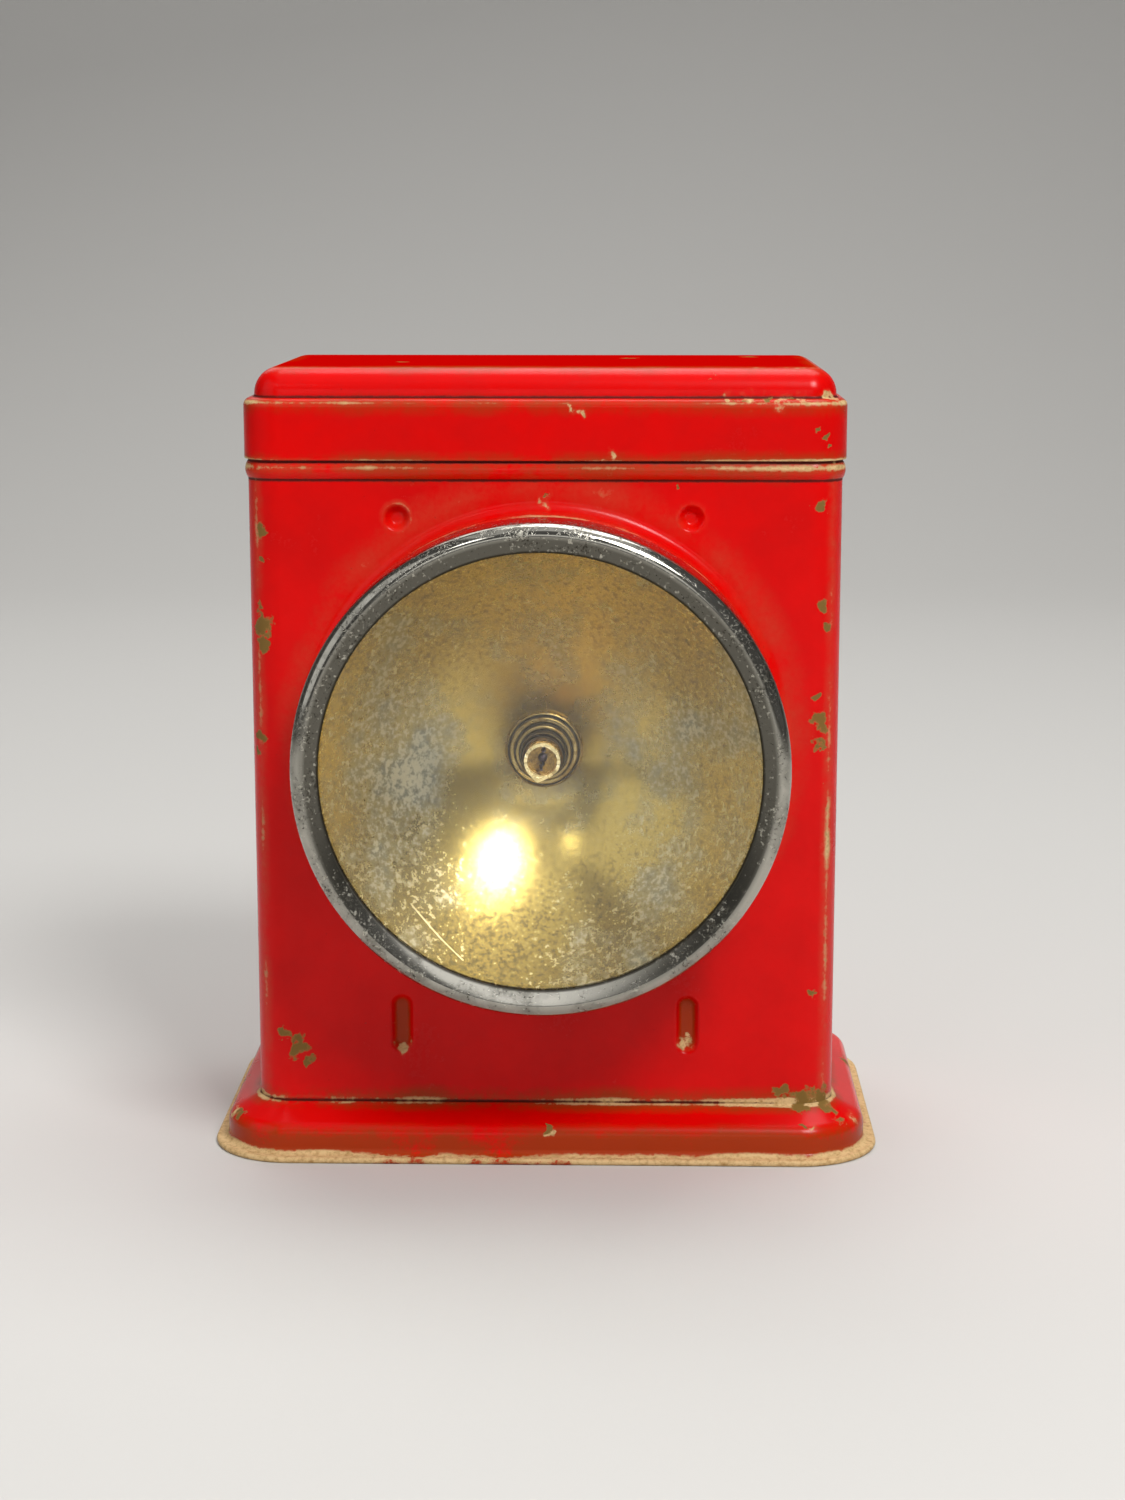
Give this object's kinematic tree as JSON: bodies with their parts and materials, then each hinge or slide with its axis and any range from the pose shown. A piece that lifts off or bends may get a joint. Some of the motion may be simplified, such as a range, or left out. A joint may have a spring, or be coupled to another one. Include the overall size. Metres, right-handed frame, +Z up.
{
  "type": "electric lantern",
  "caption": "Box-shaped sheet-steel hand lantern with a round reflector lamp on its front, a lift-off lid over dry cells, a slide switch and a wire bail at the back.",
  "frame": {"origin": "middle of the standing plane under the plinth", "axes": "+Z up, -Y towards the front that the lamp faces, +X to the right seen from the front"},
  "size_m": [0.1622, 0.1194, 0.1891],
  "materials": {
    "red_enamel": "glossy red enamel, chipped at the edges",
    "red_enamel_plinth": "glossy red enamel, worn bare on the lip",
    "red_enamel_lid": "glossy red enamel, worn bare on the lower edge",
    "red_enamel_ears": "glossy red enamel",
    "tinned_steel": "dull tinned steel",
    "chromed_bezel": "pitted bright chrome",
    "clear_glass": "clear flat glass",
    "silvered_reflector": "tarnished silvering",
    "nickelled_socket": "worn nickel over brass",
    "bare_brass": "dull brass",
    "bulb_brass": "dull brass",
    "solder": "dull solder",
    "black_glass": "black glass",
    "bulb_cement": "matt cement",
    "bulb_glass": "broken clear glass",
    "filament_wire": "blackened wire",
    "cell_paper": "plain dark blue paper",
    "cell_zinc": "dull zinc round a black mix",
    "pitch_seal": "poured black pitch",
    "carbon": "matt carbon",
    "covered_wire": "braided covering",
    "fibre": "red-brown vulcanised fibre",
    "nickelled_steel": "dull nickel",
    "bail_wire": "dull nickelled wire"
  },
  "bodies": {
    "housing": {"case": "red_enamel", "plinth": "red_enamel_plinth", "floor_pan": "tinned_steel", "reflector": "silvered_reflector", "lamp_socket": "nickelled_socket", "socket_ring": "tinned_steel", "contact_insulator": "fibre", "centre_contact": "bare_brass", "left_cell_jacket": "cell_paper", "left_cell_core": "cell_zinc", "left_cell_seal": "pitch_seal", "right_cell_jacket": "cell_paper", "right_cell_core": "cell_zinc", "right_cell_seal": "pitch_seal", "carbon_rods": "carbon", "centre_posts": "bare_brass", "edge_posts": "bare_brass", "terminal_nuts": "bare_brass", "series_link": "bare_brass", "lamp_lead": "covered_wire", "switch_lead": "covered_wire", "switch_plate": "fibre", "switch_contact": "bare_brass", "switch_screw": "bare_brass", "switch_rivets": "nickelled_steel", "bail_ears": "red_enamel_ears", "ear_rivets": "red_enamel_ears"},
    "lid": {"lid": "red_enamel_lid", "lid_liner": "fibre"},
    "front_ring": {"bezel": "chromed_bezel", "glass_lens": "clear_glass"},
    "bulb": {"bulb_shell": "bulb_brass", "bulb_tip": "solder", "bulb_insulator": "black_glass", "bulb_cement": "bulb_cement", "bulb_glass": "bulb_glass", "bulb_posts": "filament_wire"},
    "switch": {"switch_button": "nickelled_steel", "switch_blade": "bare_brass"},
    "handle": {"bail": "bail_wire"}
  },
  "joints": [
    {"name": "lid_lift", "type": "slide", "parent": "housing", "child": "lid", "axis": [0, 0, 1], "range_m": [0, 0.06]},
    {"name": "front_ring_pull", "type": "slide", "parent": "housing", "child": "front_ring", "axis": [0, -1, 0], "range_m": [0, 0.05]},
    {"name": "bulb_unscrew", "type": "slide", "parent": "housing", "child": "bulb", "axis": [0, -1, 0], "range_m": [0, 0.008]},
    {"name": "switch_slide", "type": "slide", "parent": "housing", "child": "switch", "axis": [0, 0, 1], "range_m": [0, 0.008]},
    {"name": "bail_swing", "type": "hinge", "parent": "housing", "child": "handle", "pos_m": [0, 0.0412, 0.15], "axis": [1, 0, 0], "range_deg": [0, 180]}
  ]
}
